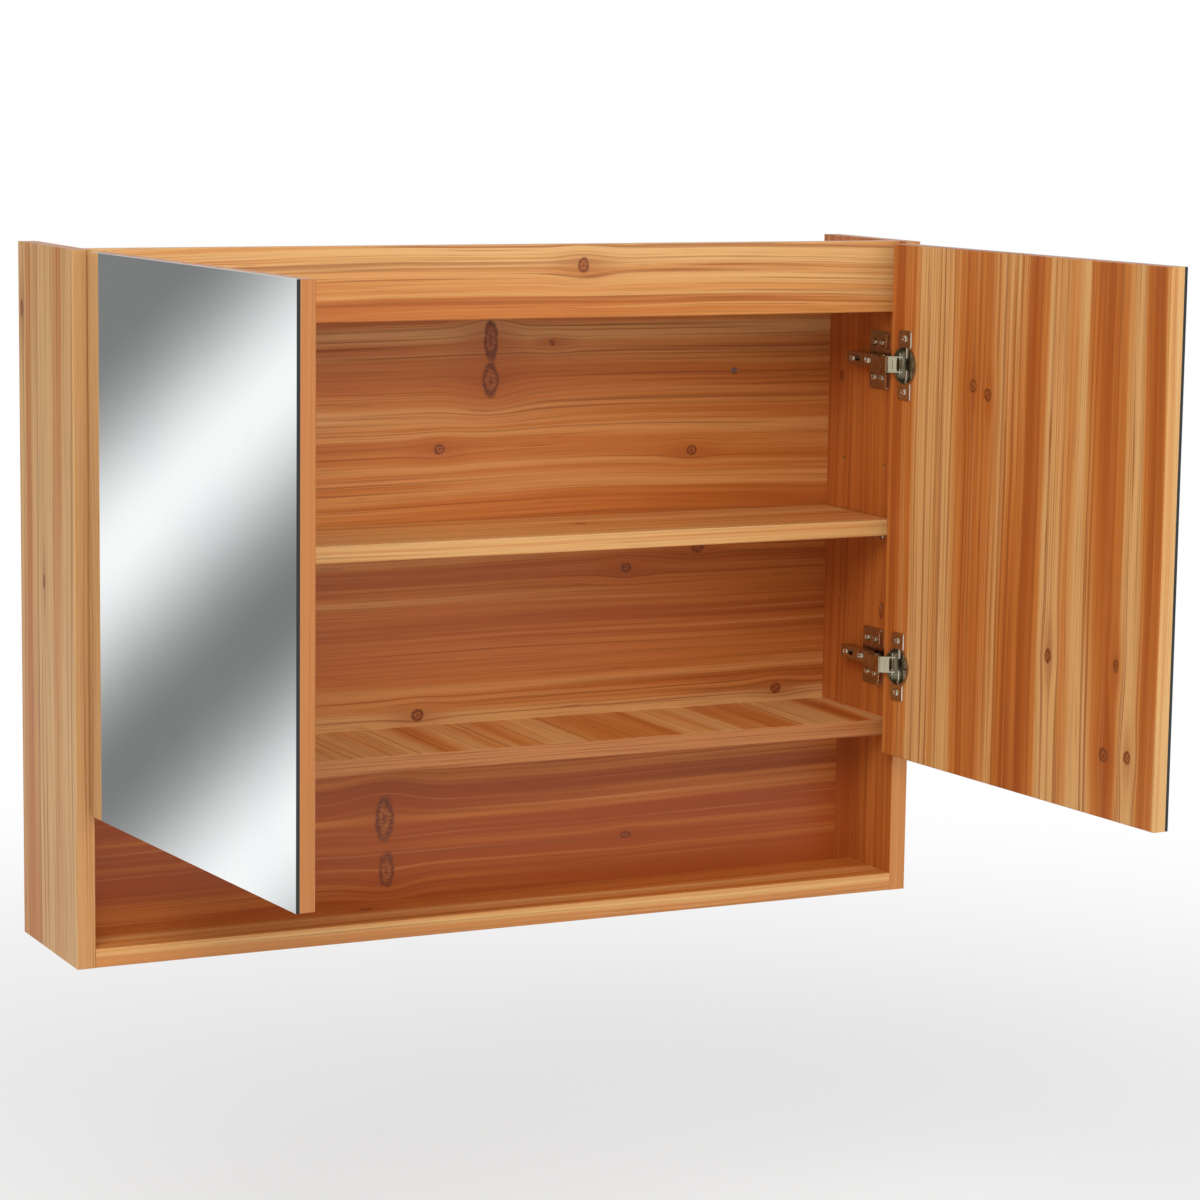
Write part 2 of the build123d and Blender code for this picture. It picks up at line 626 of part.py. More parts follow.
# Pins in the cups' walls, and the screws through the cups' flanges
for side in SIDES:
    with BuildPart() as cup_pins:
        for height in HINGE_HEIGHTS.values():
            plane = door_plane(side, height)
            with BuildSketch(plane):
                with Locations(INNER_END):
                    Circle(INNER_CUP_PIN_R)
            extrude(amount=INNER_CUP_PIN_HALF, both=True)
            start, end = OUTER_CUP_PIN_SPAN
            for way in (-1, 1):
                with BuildSketch(plane.offset(way * start)):
                    with Locations(OUTER_END):
                        Circle(OUTER_CUP_PIN_R)
                extrude(amount=way * (end - start))
    cup_pins.part.label = f"{side}_cup_pins"
    export_step(cup_pins.part, f"parts/{side}_cup_pins.step")

    with BuildPart() as cup_screws:
        for height in HINGE_HEIGHTS.values():
            outer = cup_plane(side, height).offset(-FLANGE_THICK)
            with BuildSketch(outer):
                with Locations(*CUP_SCREW_PLACES):
                    Circle(CUP_SCREW_R)
            extrude(amount=FLANGE_THICK + CUP_SCREW_LENGTH)
            with BuildSketch(outer):
                with Locations(*CUP_SCREW_PLACES):
                    Circle(CUP_HEAD_R)
            extrude(amount=-CUP_HEAD)
    cup_screws.part.label = f"{side}_cup_screws"
    export_step(cup_screws.part, f"parts/{side}_cup_screws.step")
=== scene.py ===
from math import cos, pi, radians, sin

import bmesh
import bpy
from mathutils import Matrix, Vector


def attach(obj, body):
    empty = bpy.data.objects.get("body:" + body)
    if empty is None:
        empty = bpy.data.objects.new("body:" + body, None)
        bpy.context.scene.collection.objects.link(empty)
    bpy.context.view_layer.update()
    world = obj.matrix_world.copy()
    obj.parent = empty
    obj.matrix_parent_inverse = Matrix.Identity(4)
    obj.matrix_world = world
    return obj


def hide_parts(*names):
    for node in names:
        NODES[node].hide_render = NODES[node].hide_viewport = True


# Pine wall cabinet with two mirror doors. Metres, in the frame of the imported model.
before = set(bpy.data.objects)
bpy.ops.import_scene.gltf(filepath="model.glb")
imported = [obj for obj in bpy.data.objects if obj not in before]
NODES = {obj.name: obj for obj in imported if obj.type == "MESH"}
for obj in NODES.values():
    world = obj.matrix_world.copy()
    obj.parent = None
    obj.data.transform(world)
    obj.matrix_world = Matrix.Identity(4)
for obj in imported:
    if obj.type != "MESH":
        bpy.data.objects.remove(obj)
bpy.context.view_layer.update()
SIDES = ("left", "right")
WAY = {"left": -1, "right": 1}
UNDERSIDE = -0.475

# Camera
CAMERA_AT = Vector((-1.3167, -3.0171, 0.2759))
CAMERA_YAW, CAMERA_PITCH, CAMERA_ROLL = radians(25.992), radians(-8.262), radians(0.765)
LENS, SENSOR = 109.67, 36.0
PHOTO = 1200

# Stage
FLOOR_AT = UNDERSIDE - 0.35
FLOOR_SIZE = 12.0
CARD_FAR = 4.2
CARD_SIZE = 2.6
CARD_FADE_LOW, CARD_FADE_HIGH = (-0.49, -0.39), (0.75, 1.28, 1.0, 0.0)
CARD_SLANT = 0.98
CARD_DARK_AT, CARD_WHITE_AT = 437.0, 662.0
CARD_GREY, CARD_SWING = 0.745, 0.251
DISPLAY_GAMMA = 2.2
AMBIENT = 0.42
WHITE = (1.0, 1.0, 1.0, 1.0)
GREY_ACROSS, GREY_PERIOD, GREY_PHASE, GREY_DEPTH = (0.75, 0.0, 0.66), 0.42, 0.6, 0.24
GREY_FULL_AT = 0.40
AIM = (0, -0.1, 0)
KEY_AT, KEY_SIZE, KEY_POWER = (-1.7, -2.3, 1.9), 2.0, 66
FILL_AT, FILL_SIZE, FILL_POWER = (1.4, -2.6, 0.9), 1.6, 18


def srgb(red, green, blue):
    """Linear colour from 0 to 255 display values."""
    def linear(value):
        value /= 255
        return value / 12.92 if value <= 0.04045 else ((value + 0.055) / 1.055) ** 2.4
    return (linear(red), linear(green), linear(blue), 1.0)


def camera_axes():
    forward = Vector((sin(CAMERA_YAW) * cos(CAMERA_PITCH), cos(CAMERA_YAW) * cos(CAMERA_PITCH),
                      sin(CAMERA_PITCH)))
    level = Vector((cos(CAMERA_YAW), -sin(CAMERA_YAW), 0))
    top = level.cross(forward)
    right = level * cos(CAMERA_ROLL) + top * sin(CAMERA_ROLL)
    up = top * cos(CAMERA_ROLL) - level * sin(CAMERA_ROLL)
    return right, up, forward


def placed(right, up, back, origin):
    matrix = Matrix((right, up, back)).transposed().to_4x4()
    matrix.translation = origin
    return matrix


def add_camera():
    data = bpy.data.cameras.new("camera")
    data.lens, data.sensor_width = LENS, SENSOR
    data.clip_end = 50
    camera = bpy.data.objects.new("camera", data)
    right, up, forward = camera_axes()
    camera.matrix_world = placed(right, up, -forward, CAMERA_AT)
    bpy.context.scene.collection.objects.link(camera)
    bpy.context.scene.camera = camera


class Graph:
    """Short forms for a material's nodes. A value is a number, a colour, a vector or a socket."""

    def __init__(self, name):
        self.material = bpy.data.materials.new(name)
        self.material.use_nodes = True
        self.tree = self.material.node_tree
        self.tree.nodes.clear()

    @classmethod
    def of(cls, tree):
        """The same short forms for a tree that is already there."""
        graph = cls.__new__(cls)
        graph.tree = tree
        tree.nodes.clear()
        return graph

    def node(self, kind, inputs=None, **settings):
        made = self.tree.nodes.new(kind)
        for key, value in settings.items():
            setattr(made, key, value)
        for key, value in (inputs or {}).items():
            self.plug(made.inputs[key], value)
        return made

    def plug(self, socket, value):
        if isinstance(value, bpy.types.NodeSocket):
            self.tree.links.new(value, socket)
        else:
            socket.default_value = value

    def math(self, operation, first, second=0.0):
        return self.node("ShaderNodeMath", {0: first, 1: second}, operation=operation).outputs[0]

    def add(self, first, second):
        return self.math("ADD", first, second)

    def sub(self, first, second):
        return self.math("SUBTRACT", first, second)

    def mul(self, first, second):
        return self.math("MULTIPLY", first, second)

    def vector(self, operation, first, second=(0, 0, 0)):
        made = self.node("ShaderNodeVectorMath", {0: first, 1: second}, operation=operation)
        return made.outputs["Value" if operation in ("DOT_PRODUCT", "LENGTH") else 0]

    def hill(self, at):
        """1 at the origin, falling smoothly to 0 over a distance of about 2."""
        return self.math("EXPONENT", self.mul(self.vector("DOT_PRODUCT", at, at), -1.0))

    def combine(self, x, y, z):
        return self.node("ShaderNodeCombineXYZ", {0: x, 1: y, 2: z}).outputs[0]

    def ramp(self, value, low, high, low_to=0.0, high_to=1.0, smooth=True):
        kind = "SMOOTHSTEP" if smooth else "LINEAR"
        inputs = {"Value": value, "From Min": low, "From Max": high, "To Min": low_to,
                  "To Max": high_to}
        return self.node("ShaderNodeMapRange", inputs, interpolation_type=kind).outputs[0]

    def noise(self, at, scale, detail=2.0, roughness=0.5):
        inputs = {"Vector": at, "Scale": scale, "Detail": detail, "Roughness": roughness}
        return self.node("ShaderNodeTexNoise", inputs).outputs[0]

    def mix(self, share, first, second):
        made = self.node("ShaderNodeMix", data_type="RGBA")
        self.plug(made.inputs[0], share)
        self.plug(made.inputs[6], first)
        self.plug(made.inputs[7], second)
        return made.outputs[2]

    def finish(self, inputs):
        shader = self.node("ShaderNodeBsdfPrincipled", inputs)
        out = self.node("ShaderNodeOutputMaterial")
        self.tree.links.new(shader.outputs[0], out.inputs[0])
        return self.material

    def coordinates(self):
        return self.node("ShaderNodeTexCoord")


# Pine colours
LIGHT = srgb(228, 178, 114)
TAN = srgb(217, 151, 84)
ORANGE = srgb(202, 122, 54)
HEART = srgb(168, 80, 27)
LATEWOOD = srgb(154, 80, 33)
KNOT_RING = srgb(140, 70, 30)
KNOT_HEART = srgb(104, 48, 26)
KNOT_PITH = srgb(184, 108, 52)
END_GRAIN = srgb(190, 124, 70)

X, Y, Z = Vector((1, 0, 0)), Vector((0, 1, 0)), Vector((0, 0, 1))

# Grain: bends and ripples in metres, and numbers to the metre of each kind of line
BEND, RIPPLE = 0.018, 0.0026
NARROW_TO_BROAD = 4.5
RINGS_TO_METRE, BROKEN_TO_METRE, HAIRS_TO_METRE, FIBRES_TO_METRE = 330.0, 420.0, 900.0, 2600.0
END_RINGS_TO_METRE = 760.0
LAYER_SLOPE = 1.9
KNOT_PUSH = 0.62


def pine(name, along, across, seed, knots=(), tone=0.0, heart=0.35, bands=26.0, vivid=1.0,
         narrow_bands=None, streaks=(), edge_colour=LIGHT, edge_share=0.25):
    """Quarter-sawn pine. along is the grain's direction and across lies in the board's face.

    A knot is (along, across, radius along, radius across). A streak is a darker stretch of
    (along, across, half length, half width). tone shifts the bands towards orange, vivid sets
    how far they differ, and heart is the share of heartwood in the darkest. bands and
    narrow_bands are their numbers to the metre. edge_colour is mixed into the long edges by
    edge_share.
    """
    narrow_bands = narrow_bands or NARROW_TO_BROAD * bands
    graph = Graph(name)
    depth = along.cross(across)
    coordinates = graph.coordinates()
    place = coordinates.outputs["Object"]
    normal = coordinates.outputs["Normal"]
    a = graph.vector("DOT_PRODUCT", place, along)
    c = graph.vector("DOT_PRODUCT", place, across)
    d = graph.vector("DOT_PRODUCT", place, depth)
    slow_depth = graph.add(graph.mul(d, 4.0), seed * 7.3)
    flow = graph.combine(graph.mul(a, 1.5), graph.mul(c, 4.0), slow_depth)
    bent = graph.add(c, graph.mul(graph.sub(graph.noise(flow, 1.3, 1.0), 0.5), BEND))
    ripple = graph.combine(graph.mul(a, 7.0), graph.mul(c, 26.0), graph.add(d, seed * 3.1))
    bent = graph.add(bent, graph.mul(graph.sub(graph.noise(ripple, 1.0, 2.0), 0.5), RIPPLE))
    wobble = graph.sub(graph.noise(place, 150.0, 2.0), 0.5)
    knot_mask, halo, knot_rim = 0.0, 0.0, 0.0
    for knot_a, knot_c, radius_a, radius_c in knots:
        off_a = graph.sub(a, knot_a)
        off_c = graph.sub(c, knot_c)
        long_reach, reach = 3.0 * radius_a + 0.010, 1.35 * radius_c + 0.005
        wide = graph.combine(graph.mul(off_a, 1 / long_reach), graph.mul(off_c, 1 / reach), 0.0)
        weight = graph.hill(wide)
        bent = graph.sub(bent, graph.mul(graph.mul(off_c, weight), KNOT_PUSH))
        near = graph.combine(graph.mul(off_a, 1 / radius_a), graph.mul(off_c, 1 / radius_c), 0.0)
        far = graph.add(graph.vector("LENGTH", near), graph.mul(wobble, 0.55))
        knot_mask = graph.math("MAXIMUM", knot_mask, graph.ramp(far, 0.70, 1.15, 1.0, 0.0))
        rim = graph.ramp(graph.math("ABSOLUTE", graph.sub(far, 0.84)), 0.0, 0.42, 1.0, 0.0)
        heart_of = graph.ramp(far, 0.0, 0.50, 0.85, 0.0)
        knot_rim = graph.math("MAXIMUM", knot_rim, graph.math("MAXIMUM", rim, heart_of))
        tail = graph.combine(graph.mul(off_a, 1 / (3.4 * radius_a + 0.012)),
                             graph.mul(off_c, 1 / (1.2 * radius_c + 0.0025)), 0.0)
        halo = graph.math("MAXIMUM", halo, graph.hill(tail))
    layer = graph.add(bent, graph.mul(d, LAYER_SLOPE))
    broad_at = graph.combine(graph.mul(layer, bands), graph.mul(a, 0.5), seed * 1.9)
    broad = graph.noise(broad_at, 1.0, 1.0)
    narrow_at = graph.combine(graph.mul(layer, narrow_bands), graph.mul(a, 1.1), seed * 2.7)
    narrow = graph.noise(narrow_at, 1.0, 2.0)
    share = graph.add(graph.mul(graph.sub(broad, 0.5), vivid),
                      graph.mul(graph.sub(narrow, 0.5), 0.55))
    share = graph.add(share, 0.53)
    wood = graph.mix(graph.ramp(share, 0.36 - tone, 0.50 - tone), LIGHT, TAN)
    wood = graph.mix(graph.ramp(share, 0.49 - tone, 0.61 - tone), wood, ORANGE)
    wood = graph.mix(graph.ramp(share, 0.60 - tone, 0.80 - tone, 0.0, heart), wood, HEART)
    for streak_a, streak_c, half_length, half_width in streaks:
        shape = graph.combine(graph.mul(graph.sub(a, streak_a), 1 / half_length),
                              graph.mul(graph.sub(bent, streak_c), 1 / half_width), 0.0)
        wood = graph.mix(graph.mul(graph.hill(shape), 0.80), wood, LATEWOOD)
    wood = graph.mix(graph.mul(halo, 0.50), wood, HEART)
    ring_at = graph.combine(graph.mul(layer, RINGS_TO_METRE), graph.mul(a, 1.6), seed * 4.1)
    ring = graph.noise(ring_at, 1.0, 2.0)
    ring_line = graph.ramp(ring, 0.51, 0.71)
    wood = graph.mix(graph.mul(ring_line, 0.66), wood, LATEWOOD)
    wood = graph.mix(graph.ramp(ring, 0.24, 0.42, 0.30, 0.0), wood, LIGHT)
    hair_at = graph.combine(graph.mul(layer, HAIRS_TO_METRE), graph.mul(a, 6.0), seed * 6.1)
    hair = graph.noise(hair_at, 1.0, 2.0, 0.6)
    wood = graph.mix(graph.ramp(hair, 0.52, 0.72, 0.0, 0.52), wood, LATEWOOD)
    broken_at = graph.combine(graph.mul(layer, BROKEN_TO_METRE), graph.mul(a, 13.0), seed * 8.3)
    broken = graph.noise(broken_at, 1.0, 1.0)
    wood = graph.mix(graph.ramp(broken, 0.70, 0.80, 0.0, 0.55), wood, KNOT_RING)
    fibre_at = graph.combine(graph.mul(a, 60.0), graph.mul(layer, FIBRES_TO_METRE), seed)
    fibre = graph.noise(fibre_at, 1.0, 2.0, 0.6)
    wood = graph.mix(graph.ramp(fibre, 0.56, 0.74, 0.0, 0.16), wood, LATEWOOD)
    grown_at = graph.combine(graph.mul(a, 300.0), graph.mul(c, 700.0), graph.mul(d, 700.0))
    grown = graph.noise(grown_at, 1.0, 2.0)
    knot_wood = graph.mix(graph.ramp(grown, 0.35, 0.65), KNOT_PITH, KNOT_RING)
    wood = graph.mix(graph.mul(knot_mask, 0.85), wood, knot_wood)
    rough_rim = graph.mul(knot_rim, graph.ramp(grown, 0.20, 0.60, 0.55, 1.0))
    wood = graph.mix(graph.mul(rough_rim, 0.85), wood, KNOT_HEART)
    edge = graph.math("ABSOLUTE", graph.vector("DOT_PRODUCT", normal, across))
    wood = graph.mix(graph.ramp(edge, 0.6, 0.9, 0.0, edge_share), wood, edge_colour)
    end = graph.math("ABSOLUTE", graph.vector("DOT_PRODUCT", normal, along))
    end_at = graph.combine(graph.mul(d, END_RINGS_TO_METRE), graph.mul(c, 5.0), seed)
    end_ring = graph.noise(end_at, 1.0, 2.0)
    end_wood = graph.mix(graph.ramp(end_ring, 0.45, 0.70), END_GRAIN, LATEWOOD)
    wood = graph.mix(graph.ramp(end, 0.5, 0.8), wood, end_wood)
    height = graph.add(graph.mul(ring_line, 0.4), graph.mul(graph.add(fibre, hair), 0.5))
    bump = graph.node("ShaderNodeBump", {"Strength": 0.12, "Distance": 0.0005, "Height": height})
    rough = graph.ramp(graph.add(ring_line, fibre), 0.3, 1.5, 0.38, 0.52, smooth=False)
    return graph.finish({"Base Color": wood, "Roughness": rough, "Normal": bump.outputs[0],
                         "Specular IOR Level": 0.35, "Coat Weight": 0.08, "Coat Roughness": 0.30})


def outer_face(side):
    """The mirror's outward direction and a point on its front, from its own mesh."""
    way = WAY[side]
    mesh = NODES[f"{side}_mirror"].data
    large = max(face.area for face in mesh.polygons)
    faces = [face for face in mesh.polygons if face.area > large / 2]
    face = max(faces, key=lambda one: one.normal.x * way)
    return face.normal.copy(), Vector(face.center)


def door_across(side):
    """Level direction across a door's face, from its mirror's outward direction."""
    return Z.cross(outer_face(side)[0]).normalized()


def level_knots(knots):
    """Knots on an upright board with level grain, from X and the height above the underside."""
    return [(x, height + UNDERSIDE, radius_x, radius_z) for x, height, radius_x, radius_z in knots]


BACK_KNOTS = level_knots((
    (0.034, 0.508, 0.0065, 0.0170), (0.034, 0.472, 0.0075, 0.0150),
    (-0.016, 0.411, 0.0050, 0.0045), (0.239, 0.402, 0.0050, 0.0045), (0.173, 0.295, 0.0050, 0.0045),
    (0.247, 0.310, 0.0060, 0.0040), (-0.036, 0.170, 0.0060, 0.0055), (0.333, 0.172, 0.0050, 0.0050),
    (0.095, 0.505, 0.0025, 0.0025),
))
LOWER_KNOTS = level_knots((
    (-0.092, 0.090, 0.0085, 0.0200), (-0.090, 0.044, 0.0070, 0.0150), (0.147, 0.057, 0.0050, 0.0030),
))
RAIL_KNOTS = level_knots(((0.066, 0.582, 0.0050, 0.0065),))
RAIL_STREAKS = level_knots((
    (0.150, 0.5735, 0.070, 0.0012), (0.205, 0.5775, 0.050, 0.0010), (0.215, 0.5480, 0.080, 0.0014),
    (0.075, 0.5720, 0.020, 0.0018),
))
LOWER_STREAKS = level_knots(((0.010, 0.056, 0.130, 0.0016), (-0.120, 0.052, 0.030, 0.0020)))
BOTTOM_KNOTS = ((-0.12, -0.10, 0.005, 0.004),)
ADJUSTABLE_SHELF_KNOTS = ((0.1, -0.07, 0.005, 0.004),)
TOP_KNOTS = ((-0.2, -0.06, 0.006, 0.005),)
SIDE_KNOTS = {
    "left": ((0.544 + UNDERSIDE, -0.010, 0.0070, 0.0035),
             (0.317 + UNDERSIDE, -0.066, 0.0060, 0.0030)),
    "right": ((0.259 + UNDERSIDE, -0.123, 0.0070, 0.0040),
              (0.470 + UNDERSIDE, -0.040, 0.0050, 0.0035)),
}
# Side tones: the left side's lighter tone is painted light on its lit outer face, and the right
# side's darker tone is painted shade on its shaded inner face.
SIDE_PAINTED_LIGHT_AND_SHADE_TONE = {"left": -0.13, "right": 0.17}
# Left side: its long edges are mixed towards dark latewood, painted shade standing in for the door's
# shadow on its front edge.
SIDE_EDGE_PAINTED_SHADE = {"left": {"edge_colour": LATEWOOD, "edge_share": 0.38}, "right": {}}
SIDE_VIVID = {"left": 1.1, "right": 0.7}
DOOR_HINGE_EDGE = 0.001


def door_ends(side):
    """The door board's corners, and those nearest the wall and farthest from it."""
    board = [vertex.co for vertex in NODES[f"{side}_door_panel"].data.vertices]
    return board, max(board, key=lambda corner: corner.y), min(board, key=lambda corner: corner.y)


def door_places(side, places):
    """Places on a door from the distance from its hinge edge and the height above the underside."""
    across = door_across(side)
    _, hinge_corner, free_corner = door_ends(side)
    hinge, free = hinge_corner.dot(across), free_corner.dot(across)
    way = 1 if free > hinge else -1
    return [(height + UNDERSIDE, hinge + way * (u - DOOR_HINGE_EDGE), high, wide)
            for u, height, high, wide in places]


RIGHT_DOOR_KNOTS = ((0.129, 0.480, 0.0055, 0.0050), (0.151, 0.474, 0.0055, 0.0050),
                    (0.330, 0.185, 0.0060, 0.0055), (0.362, 0.188, 0.0055, 0.0045),
                    (0.249, 0.258, 0.0060, 0.0040), (0.343, 0.263, 0.0055, 0.0035))
RIGHT_DOOR_STREAKS = ((0.244, 0.446, 0.020, 0.0016), (0.357, 0.440, 0.045, 0.0012),
                      (0.178, 0.400, 0.050, 0.0008), (0.302, 0.330, 0.060, 0.0008))
LEFT_DOOR_KNOTS = ((0.110, 0.420, 0.0060, 0.0045), (0.290, 0.330, 0.0060, 0.0050),
                   (0.220, 0.210, 0.0055, 0.0040))


def paint(node, material):
    mesh = NODES[node].data
    mesh.materials.clear()
    mesh.materials.append(material)
    for face in mesh.polygons:
        face.material_index = 0


def paint_boards():
    for index, side in enumerate(SIDES):
        paint(f"{side}_side_panel",
              pine(f"pine_{side}_side", Z, Y, 2.0 + index, SIDE_KNOTS[side], tone=SIDE_PAINTED_LIGHT_AND_SHADE_TONE[side],
                   heart=0.5, bands=30.0, vivid=SIDE_VIVID[side], **SIDE_EDGE_PAINTED_SHADE[side]))
        paint(f"{side}_corner_batten",
              pine(f"pine_{side}_batten", Z, X, 12.0 + index, tone=0.16, heart=0.9))
    paint("bottom_panel", pine("pine_bottom", X, Y, 4.0, BOTTOM_KNOTS, tone=0.06))
    paint("fixed_shelf",
          pine("pine_fixed_shelf", Y, X, 5.0, tone=-0.13, heart=0.8, bands=17.0, vivid=1.7,
               narrow_bands=45.0))
    paint("adjustable_shelf",
          pine("pine_adjustable_shelf", X, Y, 6.0, ADJUSTABLE_SHELF_KNOTS, tone=-0.09))
    paint("front_top_rail",
          pine("pine_rail", X, Z, 7.0, RAIL_KNOTS, tone=-0.05, heart=0.6, bands=30.0,
               streaks=RAIL_STREAKS))
    paint("top_panel", pine("pine_top", X, Y, 8.0, TOP_KNOTS))
    paint("upper_back_panel",
          pine("pine_upper_back", X, Z, 9.0, BACK_KNOTS, tone=0.03, heart=0.65, bands=22.0,
               vivid=1.2))
    # Lower back: its darkest tone and full heartwood share are painted shade, darkening the open
    # lower compartment under the fixed shelf.
    paint("lower_back_panel",
          pine("pine_lower_back", X, Z, 10.0, LOWER_KNOTS, tone=0.24, heart=1.0,
               streaks=LOWER_STREAKS))
    paint("wooden_dowels", pine("beech_dowels", X, Y, 11.0, tone=-0.1, heart=0.0))
    # Right door: its lighter tone is painted light on its inner face, which faces the key light.
    paint("right_door_panel",
          pine("pine_right_door", Z, door_across("right"), 14.0,
               door_places("right", RIGHT_DOOR_KNOTS), tone=-0.07, heart=0.75, vivid=1.7,
               streaks=door_places("right", RIGHT_DOOR_STREAKS)))
    paint("left_door_panel",
          pine("pine_left_door", Z, door_across("left"), 15.0,
               door_places("left", LEFT_DOOR_KNOTS), heart=0.7, bands=24.0, vivid=1.6))


# Metal and glass
MARKS_SCALE, CLOUDS_SCALE = 900.0, 900.0 / 14
GLOSS_SPREAD = 0.06


def metal(name, colour, rough):
    """Plated steel with fine marks, a little uneven in gloss and colour."""
    graph = Graph(name)
    place = graph.coordinates().outputs["Object"]
    fine = graph.noise(place, MARKS_SCALE, 3.0, 0.6)
    broad = graph.noise(place, CLOUDS_SCALE, 2.0)
    darker = tuple(0.78 * part for part in colour[:3]) + (1.0,)
    tint = graph.mix(graph.ramp(broad, 0.35, 0.65, 0.0, 0.5), colour, darker)
    gloss = graph.ramp(fine, 0.3, 0.7, rough - GLOSS_SPREAD, rough + GLOSS_SPREAD, smooth=False)
    relief = graph.node("ShaderNodeBump", {"Strength": 0.04, "Distance": 0.0002, "Height": fine})
    return graph.finish({"Base Color": tint, "Metallic": 1.0, "Roughness": gloss,
                         "Normal": relief.outputs[0]})


NICKEL = srgb(186, 178, 158)
LINK_NICKEL = srgb(176, 168, 142)
CUP_NICKEL = srgb(196, 190, 172)
BRIGHT_NICKEL = srgb(216, 208, 192)
SILVER, CLOUDY_SILVER = srgb(247, 249, 249), srgb(243, 246, 247)
BACKING, PAINTED_LIT_GLASS_EDGE = srgb(20, 26, 26), srgb(150, 172, 168)


def mirror_material(side):
    """Silvered glass: the sides and back show dark backing, and the upward-facing top edge a lighter
    greenish glass colour, which is painted light as if lit from above.
    """
    graph = Graph(f"mirror_{side}")
    coordinates = graph.coordinates()
    out = outer_face(side)[0]
    facing = graph.vector("DOT_PRODUCT", coordinates.outputs["Normal"], tuple(out))
    front = graph.ramp(facing, 0.80, 0.90)
    top = graph.vector("DOT_PRODUCT", coordinates.outputs["Normal"], (0, 0, 1))
    haze = graph.noise(coordinates.outputs["Object"], 9.0, 2.0)
    silver = graph.mix(graph.ramp(haze, 0.3, 0.7), SILVER, CLOUDY_SILVER)
    # Upward-facing edges get the lighter glass colour: painted light on the mirror's top edge.
    edge = graph.mix(graph.ramp(top, 0.5, 0.9), BACKING, PAINTED_LIT_GLASS_EDGE)
    colour = graph.mix(front, edge, silver)
    rough = graph.ramp(front, 0.0, 1.0, 0.20, 0.015)
    return graph.finish({"Base Color": colour, "Metallic": front, "Roughness": rough})


def paint_fittings():
    nickel = metal("hinge_nickel", NICKEL, 0.24)
    link = metal("link_nickel", LINK_NICKEL, 0.20)
    bright = metal("screw_nickel", BRIGHT_NICKEL, 0.22)
    cup = metal("cup_nickel", CUP_NICKEL, 0.26)
    for name in NODES:
        if name.endswith("mounting_plate") or name.endswith("hinge_arm"):
            paint(name, nickel)
        elif name.endswith("_link"):
            paint(name, link)
        elif name.endswith("hinge_cup"):
            paint(name, cup)
        elif "screws" in name or "pins" in name:
            paint(name, bright)
    for side in SIDES:
        paint(f"{side}_mirror", mirror_material(side))


# Screws
HINGE_HEIGHTS = (0.490, 0.215)
SIDE_OUT, BOARD, FRONT = 0.400, 0.016, -0.150
PLATE_FACE = 0.0016
PLATE_COLUMNS, PLATE_SCREW_HALF = (-0.034, -0.048), 0.016
ARM_TOP, TAIL_SCREW, RING_SCREW = 0.0284, -0.070, -0.042
CUP_CENTRE, CUP_SCREW_HALF, CUP_FACE = 0.0225, 0.024, 0.001
SEGMENTS, RINGS = 48, 14


def side_point(side, inward, forward, height):
    """A point in a side's hinge frame: inward from its outer face, forward of its front edge."""
    way = WAY[side]
    return Vector((way * (SIDE_OUT - inward), FRONT - forward, height + UNDERSIDE))


def inward_of(side):
    return Vector((-WAY[side], 0, 0))


def recess(x, y, radius):
    """Depth of a cross recess, as a share of its full depth."""
    arm, width = 0.62 * radius, 0.13 * radius
    depth = 0.0
    for along, over in ((x, y), (y, x)):
        sides = min(1.0, max(0.0, (width - abs(over)) / (0.35 * width) + 0.5))
        ends = min(1.0, max(0.0, (arm - abs(along)) / (0.25 * arm) + 0.2))
        depth = max(depth, sides * ends)
    return depth


def add_screws(name, body, node, spots, radius, height, shank, length, groove=0.0):
    """Pan-head screws with a cross recess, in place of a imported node.

    A spot is a point on the seat, the head's direction and its turn. groove is where a ring is
    sunk in the head, as a share of its radius.
    """
    vertices, faces = [], []
    for point, out, turn in spots:
        first = out.orthogonal().normalized()
        second = out.cross(first)
        start = len(vertices)
        profile = []
        for ring in range(RINGS + 1):
            share = ring / RINGS
            top = height * (1 - 0.45 * share ** 4)
            if groove and abs(share - groove) < 0.06:
                top -= 0.28 * height
            profile.append((radius * share * 0.96, top, True))
        profile += [(radius, 0.45 * height, False), (radius, 0.0, False), (shank, 0.0, False),
                    (shank, -0.85 * length, False), (0.15 * shank, -length, False)]
        for ring_radius, top, on_top in profile:
            for step in range(SEGMENTS):
                angle = 2 * pi * step / SEGMENTS
                x, y = ring_radius * cos(angle), ring_radius * sin(angle)
                sunk = 0.7 * height * recess(x, y, radius) if on_top else 0.0
                turned_x = x * cos(turn) - y * sin(turn)
                turned_y = x * sin(turn) + y * cos(turn)
                vertices.append(point + first * turned_x + second * turned_y + out * (top - sunk))
        for ring in range(len(profile) - 1):
            for step in range(SEGMENTS):
                here, there = start + ring * SEGMENTS, start + (ring + 1) * SEGMENTS
                after = (step + 1) % SEGMENTS
                faces.append((here + step, there + step, there + after, here + after))
        last = start + (len(profile) - 1) * SEGMENTS
        faces.append(tuple(last + step for step in reversed(range(SEGMENTS))))
    mesh = bpy.data.meshes.new(name)
    mesh.from_pydata(vertices, [], faces)
    made = bmesh.new()
    made.from_mesh(mesh)
    bmesh.ops.remove_doubles(made, verts=made.verts, dist=1e-6)
    bmesh.ops.recalc_face_normals(made, faces=made.faces)
    made.to_mesh(mesh)
    made.free()
    mesh.shade_smooth()
    mesh.set_sharp_from_angle(angle=radians(38))
    mesh.materials.append(bpy.data.materials["screw_nickel"])
    piece = bpy.data.objects.new(name, mesh)
    bpy.context.scene.collection.objects.link(piece)
    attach(piece, body)
    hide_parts(node)


